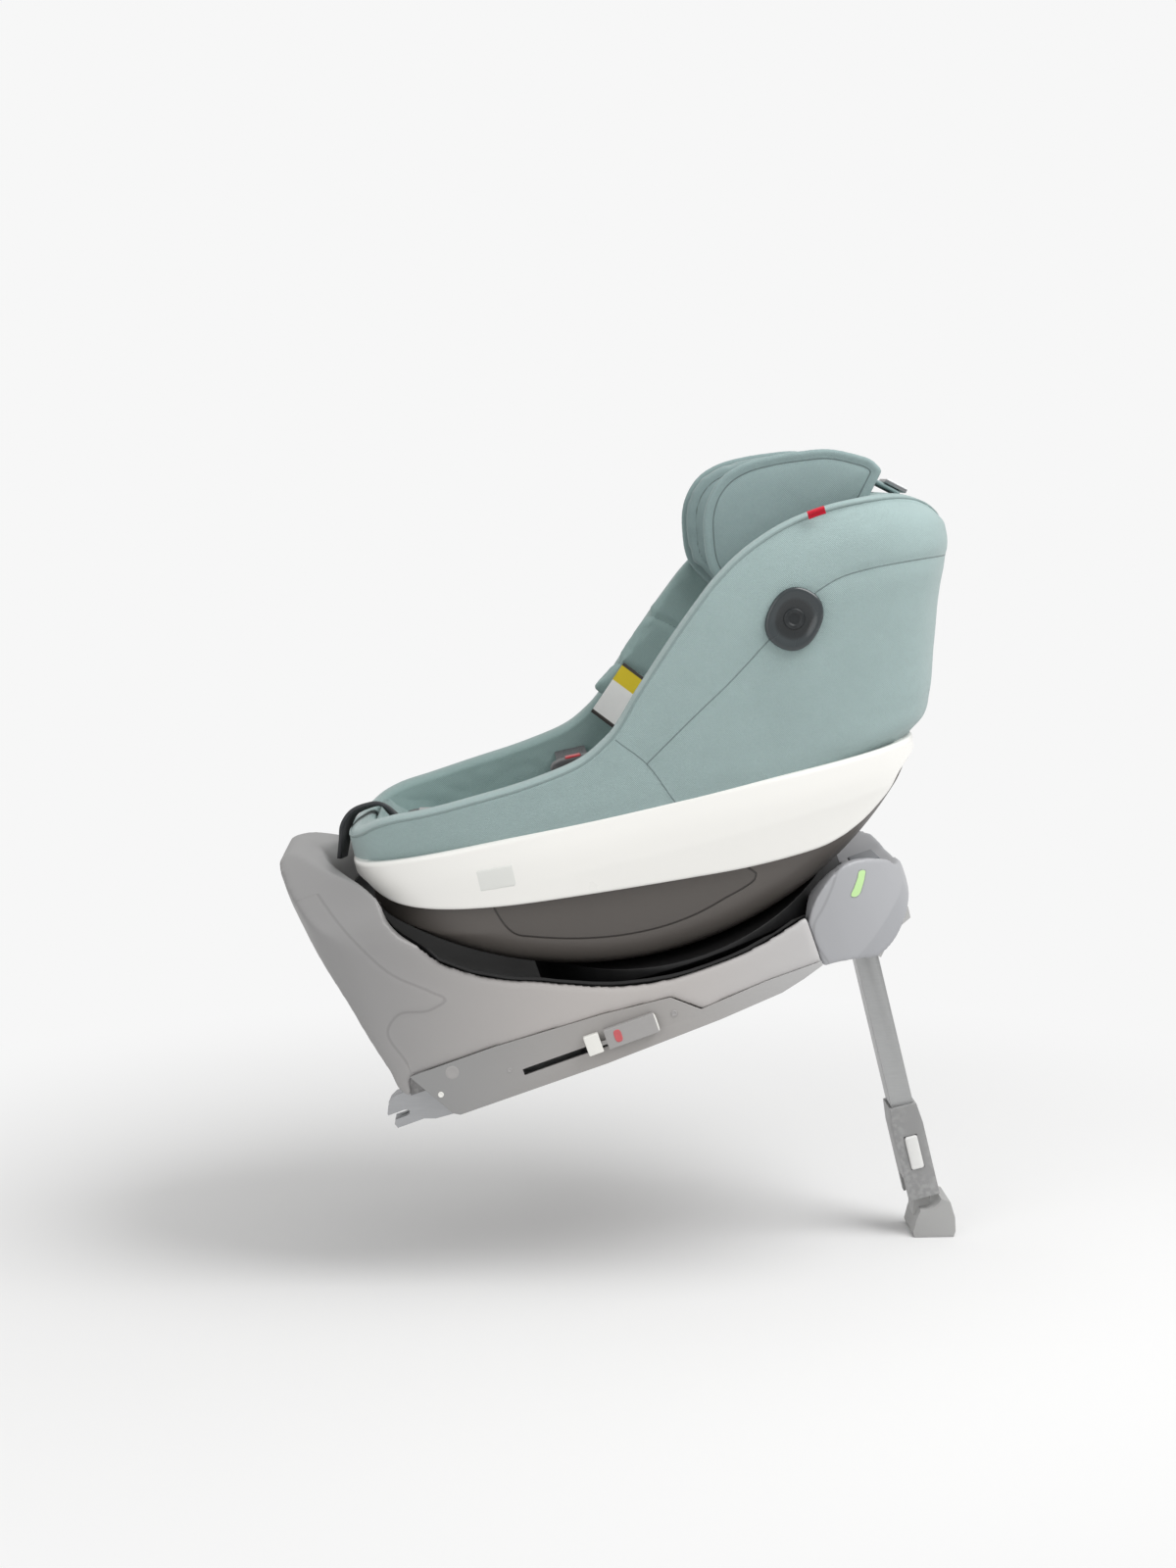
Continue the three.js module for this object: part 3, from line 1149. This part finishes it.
function rearCover() {
  return keep(skin, lowerRegion(), block([REAR_SEAM_X + GAP, FAR], [-FAR, FAR], [-FAR, FAR]));
}

function capCover() {
  const front = seam(FRONT_SEAM_SHARES.slice(0, 3));
  const long = seam(CAP_SEAM_SHARES).slice(1);
  const region = [...front, ...long, [FAR, long[long.length - 1][1]], [FAR, FAR], [front[0][0], FAR]];
  const sockets = [-1, 1].map((side) => socketSolid(side, GAP, SOCKET_THICK));
  const inside = cavity(LINING + GAP, CAVITY_HALF_WIDTH);
  return cut(keep(skin, slabY(region, -FAR, FAR)), ...sockets, inside);
}

// The side socket is an oval lying on the bucket's side.
function socketSolid(side, grow, depth) {
  const ring = roundedRing(0, 0, SOCKET_LENGTH / 2 + grow, SOCKET_WIDTH / 2 + grow, 2.3, 28);
  const turn = THREE.MathUtils.degToRad(SOCKET_TURN);
  const points = ring.map(([x, z]) => [
    SOCKET_X + x * Math.cos(turn) - z * Math.sin(turn), SOCKET_Z + x * Math.sin(turn) + z * Math.cos(turn),
  ]);
  const outer = side * (BUCKET_HALF_WIDTH * 1.03 + SKIN);
  const inner = side * (BUCKET_HALF_WIDTH * 1.03 - depth - grow);
  return slabY(points, Math.min(outer, inner), Math.max(outer, inner));
}

function sideSocket(side) {
  const hole = pinY(KNOB_RADIUS + GAP, -FAR, FAR, SOCKET_X, SOCKET_Z, 24);
  const outer = side * (BUCKET_HALF_WIDTH * 1.03 + SKIN);
  const floor = side * (BUCKET_HALF_WIDTH * 1.03 - SOCKET_THICK / 2);
  const dish = pinY(
    SOCKET_WIDTH * 0.3, Math.min(outer, floor), Math.max(outer, floor), SOCKET_X, SOCKET_Z, 24,
  );
  return cut(socketSolid(side, 0, SOCKET_THICK), dish, hole);
}

function sideKnob(side) {
  const outer = side * (BUCKET_HALF_WIDTH * 1.03);
  const inner = side * (BUCKET_HALF_WIDTH * 1.03 - SOCKET_THICK);
  return pinY(KNOB_RADIUS, Math.min(outer, inner), Math.max(outer, inner), SOCKET_X, SOCKET_Z, 24);
}

// The cavity's floor under x, as its height and its slope in degrees.
function floorAt(x) {
  const line = CAVITY_OUTLINE_SHARES.map(([a, b]) => [
    CAVITY_FRONT + a * CAVITY_LENGTH, BIGHT_Z - PAD_THICK + b * (RIM_HEIGHT - BAND_TOP),
  ]);
  const end = line.findIndex(([right], i) => i > 1 && right >= x);
  const [x0, z0] = line[end - 1];
  const [x1, z1] = line[end];
  const slope = (z1 - z0) / (x1 - x0);
  return [z0 + (x - x0) * slope, THREE.MathUtils.radToDeg(Math.atan(slope))];
}

// Where a piece made flat on z = 0 rests on that floor: its position and its turn.
function onFloor(x) {
  const [z, slope] = floorAt(x);
  return [[x, 0, z + 2 * GAP], [0, -slope, 0]];
}

function seatPad() {
  return cushion(SEAT_PAD_LENGTH, SEAT_PAD_WIDTH, PAD_THICK - RUNNING, [-0.16, 0.2]);
}

// Along the back in the headrest's frame, x runs up the back and z stands out from it.
function backPad() {
  return cushion(BACK_PAD_LENGTH, BACK_PAD_WIDTH, PAD_THICK, [0.05]);
}

function bolster(side) {
  const points = scaled(BOLSTER_OUTLINE_SHARES, BOLSTER_LENGTH, BOLSTER_DEPTH);
  return paddedOutline(points.map(([u, w]) => [u + BOLSTER_LOW, side * w]), BOLSTER_THICK);
}

function wingOutline() {
  const low = [HEAD_LOW + WING_OUTLINE_SHARES[0][0] * HEAD_LENGTH, GAP];
  const points = scaled(WING_OUTLINE_SHARES.slice(1, -1), HEAD_LENGTH, HEAD_DEPTH)
    .map(([u, w]) => [u + HEAD_LOW, w + GAP]);
  return [low, ...points, [HEAD_LOW + HEAD_LENGTH, GAP]];
}

function headrestShell() {
  const half = HEAD_WIDTH / 2;
  const outer = slabY(wingOutline(), -half, half);
  const inside = half - HEAD_WING;
  const room = block([0, FAR], [-inside, inside], [HEAD_BACK, FAR]);
  const top = shelfTop();
  const across = [-HANDLE_WIDTH / 2, HANDLE_WIDTH / 2];
  const shelf = block([top - HANDLE_THICK, top], across, [-HANDLE_REACH, HEAD_BACK]);
  const lugs = [-1, 1].map((side) => guideBox(side));
  return join(cut(outer, room), shelf, ...lugs);
}

function shelfTop() {
  return HEAD_LOW + HEAD_LENGTH - HANDLE_THICK - 2 * RUNNING;
}

// Behind the headrest two lugs run in slots along the back.
function guideBox(side) {
  const start = HEAD_LOW + HEAD_LENGTH / 4;
  return block(
    [start, start + GUIDE_LENGTH], [side * GUIDE_Y - GUIDE_WIDTH / 2, side * GUIDE_Y + GUIDE_WIDTH / 2],
    [-GUIDE_DEPTH, HEAD_BACK / 2],
  );
}

// The slots, laid on the back's slope in the bucket's frame.
function guideSlots() {
  const turn = new THREE.Matrix4().makeRotationY(THREE.MathUtils.degToRad(-BACK_SLOPE));
  turn.setPosition(BIGHT_X, 0, BIGHT_Z);
  return [-1, 1].map((side) => {
    const start = HEAD_LOW + HEAD_LENGTH / 4 - GAP;
    const length = GUIDE_LENGTH + HEAD_TRAVEL + 2 * GAP;
    const depth = GUIDE_DEPTH + HEAD_BACK;
    const geometry = new THREE.BoxGeometry(length, GUIDE_WIDTH + 2 * GAP, depth);
    geometry.translate(start + length / 2, side * GUIDE_Y, HEAD_BACK - GAP - depth / 2);
    geometry.applyMatrix4(turn);
    return solid(geometry);
  });
}

function headrestPad() {
  const width = HEAD_WIDTH - 2 * (HEAD_WING + WING_PAD_THICK + CREASE);
  return cushion(HEAD_PAD_LENGTH, width, HEAD_PAD_THICK, [-0.12]);
}

function wingPad(side) {
  const points = wingOutline().map(([u, w]) => [u, side * Math.max(w, HEAD_BACK + GAP)]);
  return paddedOutline(points, WING_PAD_THICK);
}

// A pad on an outline, rounded over towards its middle.
function paddedOutline(points, thick) {
  const apart = ([u, w], i) => i === 0 || Math.hypot(u - points[i - 1][0], w - points[i - 1][1]) > GAP;
  const ring = points.filter(apart);
  const middle = [0, 1].map((axis) => ring.reduce((sum, p) => sum + p[axis], 0) / ring.length);
  return loft(PAD_LEVEL_SHARES.map(([spread, rise]) => ring.map(([u, w]) => [
    middle[0] + (u - middle[0]) * spread, middle[1] + (w - middle[1]) * spread, rise * thick,
  ])));
}

function shoulderPad() {
  return cushion(SHOULDER_LENGTH, SHOULDER_WIDTH, SHOULDER_THICK, [], 4, 24);
}

// The lever at the back of the headrest's top, on the shelf that carries it.
function headrestHandle() {
  const low = shelfTop() + GAP;
  const grip = block(
    [low, low + HANDLE_THICK], [-HANDLE_WIDTH / 2, HANDLE_WIDTH / 2],
    [-HANDLE_REACH - HANDLE_THICK, -HANDLE_REACH + HANDLE_LENGTH],
  );
  const finger = block(
    [low + HANDLE_THICK / 2, low + 2 * HANDLE_THICK],
    [-HANDLE_WIDTH / 2 + HANDLE_THICK, HANDLE_WIDTH / 2 - HANDLE_THICK],
    [-HANDLE_REACH, -HANDLE_REACH + HANDLE_LENGTH / 2],
  );
  return cut(grip, finger);
}

// Harness
function buckle() {
  const body = cushion(BUCKLE_LENGTH, BUCKLE_WIDTH, BUCKLE_THICK, [], 5, 24);
  const key = block(
    [-BUCKLE_KEY / 2 - GAP, BUCKLE_KEY / 2 + GAP], [-BUCKLE_KEY / 2 - GAP, BUCKLE_KEY / 2 + GAP],
    [BUCKLE_THICK / 2, BUCKLE_THICK * 2],
  );
  return cut(body, key);
}

function buckleKey() {
  return block(
    [-BUCKLE_KEY / 2, BUCKLE_KEY / 2], [-BUCKLE_KEY / 2, BUCKLE_KEY / 2],
    [BUCKLE_THICK / 2 + BUCKLE_TRAVEL + GAP, BUCKLE_THICK + RUNNING],
  );
}

function tongue(side) {
  const low = BUCKLE_WIDTH / 2 + GAP;
  const range = side > 0 ? [low, low + TONGUE_LENGTH] : [-low - TONGUE_LENGTH, -low];
  const under = BUCKLE_THICK / 3;
  return block([-TONGUE_WIDTH / 2, TONGUE_WIDTH / 2], range, [under, under + TONGUE_THICK]);
}

function crotchStrap() {
  const length = buckleZ() - floorAt(BUCKLE_X)[0] - PAD_THICK - 2 * RUNNING;
  return block([-WEB_THICK / 2, WEB_THICK / 2], [-WEB_WIDTH / 2, WEB_WIDTH / 2], [-length, -GAP]);
}

function hipStrap(side) {
  const low = BUCKLE_WIDTH / 2 + TONGUE_LENGTH + 2 * GAP;
  const high = CAVITY_HALF_WIDTH - 2 * RUNNING;
  const range = side > 0 ? [low, high] : [-high, -low];
  return block([-WEB_WIDTH / 2, WEB_WIDTH / 2], range, [BUCKLE_THICK / 3, BUCKLE_THICK / 3 + WEB_THICK]);
}

function buckleZ() {
  return BIGHT_Z + (RIM_HEIGHT - BAND_TOP) * 0.03 + BUCKLE_RISE;
}

// The harness adjuster on the front lip, and its pull strap looped over the edge.
function adjuster() {
  const body = cushion(ADJUSTER_LENGTH, ADJUSTER_WIDTH, ADJUSTER_THICK, [], 4, 24);
  const key = block(
    [-ADJUSTER_KEY / 4 - GAP, ADJUSTER_KEY / 2 + GAP], [-ADJUSTER_KEY / 2 - GAP, ADJUSTER_KEY / 2 + GAP],
    [ADJUSTER_THICK / 2, ADJUSTER_THICK * 2],
  );
  return cut(body, key);
}

function adjusterKey() {
  return block(
    [-ADJUSTER_KEY / 4, ADJUSTER_KEY / 2], [-ADJUSTER_KEY / 2, ADJUSTER_KEY / 2],
    [ADJUSTER_THICK / 2 + BUCKLE_TRAVEL + GAP, ADJUSTER_THICK + RUNNING],
  );
}

function adjusterStrap() {
  const route = LOOP_ROUTE_SHARES.map(([a, b]) => [a * LOOP_REACH, LIP_Z + b * LOOP_DROP]);
  const outer = route.map(([x, z], i) => [
    x - LOOP_THICK * (i / (route.length - 1)), z + LOOP_THICK * (1 - i / (route.length - 1)),
  ]);
  return slabY([...route, ...outer.reverse()], -LOOP_WIDTH / 2, LOOP_WIDTH / 2);
}

// Roughness and metalness of each finish.
const PLASTIC = [0.6, 0];
const GLOSS = [0.35, 0];
const METAL = [0.4, 0.8];
const CLOTH = [0.9, 0];

place("base_chassis", "shell_grey", baseChassis(), base, PLASTIC);
place("base_upper_shell", "panel_grey", baseUpperShell(), base, PLASTIC);
place("bowl_liner", "black_plastic", bowlLiner(), base, PLASTIC);
place("steel_frame", "steel", steelFrame(), base, METAL);
place("swivel_bearing", "steel", bearingRace(), base, METAL);
place("base_end_cap", "cap_grey", endCap(), base, PLASTIC);
place("swivel_release_key", "cap_grey", keyBox(0, KEY_THICK), base, PLASTIC);
place("leg_bracket", "shell_grey", legBracket(), base, PLASTIC);
place("turntable", "black_plastic", turntable(), base, PLASTIC);
place("swivel_hub", "steel", swivelHub(), base, METAL);
place("leg_tube", "shell_grey", legTube(), leg, PLASTIC);
place("leg_sleeve", "shell_grey", legSleeve(), leg, PLASTIC);
place("leg_button", "white_plastic", buttonBox(0, 0), leg, GLOSS);
const [footX, footZ] = footPlace();
footFrame.position.set(footX, 0, footZ);
place("leg_foot", "shell_grey", legFoot(), footFrame, PLASTIC);

place("hull_shell", "dark_plastic", hullShell(), seat, PLASTIC);
place("seat_band", "white_plastic", seatBand(), seat, GLOSS);
place("seat_shell", "dark_plastic", seatShell(), seat, PLASTIC);
place("inner_lining", "pad_fabric", innerLining(), seat, CLOTH);
place("front_cover", "cover_fabric", frontCover(), seat, CLOTH);
place("rear_cover", "cover_fabric", rearCover(), seat, CLOTH);
place("cap_cover", "cover_fabric", capCover(), seat, CLOTH);
place("seat_pad", "pad_fabric", seatPad(), seat, CLOTH, ...onFloor(SEAT_PAD_X));
place("harness_adjuster", "dark_plastic", adjuster(), seat, PLASTIC, ...onFloor(ADJUSTER_X));
place("adjuster_key", "shell_grey", adjusterKey(), seat, PLASTIC, ...onFloor(ADJUSTER_X));
place("adjuster_strap", "webbing", adjusterStrap(), seat, CLOTH);

const backPadX = BACK_PAD_LENGTH / 2 + PAD_THICK + 2 * CREASE;
place("back_pad", "pad_fabric", backPad(), headFrame, CLOTH, [backPadX, 0, 2 * GAP]);
place("headrest_shell", "pad_fabric", headrestShell(), headFrame, CLOTH);
const headPadX = HEAD_LOW + HEAD_PAD_LENGTH / 2 + 2 * CREASE;
place("headrest_pad", "pad_fabric", headrestPad(), headFrame, CLOTH, [headPadX, 0, HEAD_BACK + 2 * GAP]);
place("headrest_handle", "dark_plastic", headrestHandle(), headFrame, PLASTIC);

const harness = new THREE.Group();
harness.position.set(BUCKLE_X, 0, buckleZ());
seat.add(harness);
place("buckle", "dark_plastic", buckle(), harness, PLASTIC);
place("buckle_key", "red_key", buckleKey(), harness, PLASTIC);
place("crotch_strap", "webbing", crotchStrap(), harness, CLOTH);

const shoulderX = HEAD_LOW - SHOULDER_LENGTH / 2 + RUNNING;
for (const [word, side] of [["near", -1], ["far", 1]]) {
  place(`status_lens_${word}`, "green_lens", lens(side), base, GLOSS);
  place(`isofix_arm_${word}`, "steel", isofixArm(side), base, METAL);
  place(`isofix_hook_${word}`, "steel", isofixHook(side), base, METAL);
  place(`isofix_unit_${word}`, "shell_grey", isofixUnit(side), base, PLASTIC);
  place(`isofix_release_${word}`, "white_plastic", isofixRelease(side), base, GLOSS);
  place(`recline_track_${word}`, "black_plastic", reclineTrack(side), base, PLASTIC);
  place(`side_cover_${word}`, "cover_fabric", sideCover(side), seat, CLOTH);
  place(`side_socket_${word}`, "dark_plastic", sideSocket(side), seat, PLASTIC);
  place(`side_knob_${word}`, "black_plastic", sideKnob(side), seat, PLASTIC);
  const inward = [side * 90, 0, 0];
  const bolsterAt = [0, side * (CAVITY_HALF_WIDTH - LINING), 2 * GAP];
  place(`bolster_${word}`, "pad_fabric", bolster(side), headFrame, CLOTH, bolsterAt, inward);
  const wingAt = [0, side * (HEAD_WIDTH / 2 - HEAD_WING - 2 * GAP), 0];
  place(`headrest_wing_pad_${word}`, "pad_fabric", wingPad(side), headFrame, CLOTH, wingAt, inward);
  const shoulderAt = [shoulderX, side * SHOULDER_Y, PAD_THICK + 2 * GAP];
  place(`shoulder_pad_${word}`, "webbing", shoulderPad(), headFrame, CLOTH, shoulderAt);
  place(`buckle_tongue_${word}`, "steel", tongue(side), harness, METAL);
  place(`hip_strap_${word}`, "webbing", hipStrap(side), harness, CLOTH);
}

export default object;
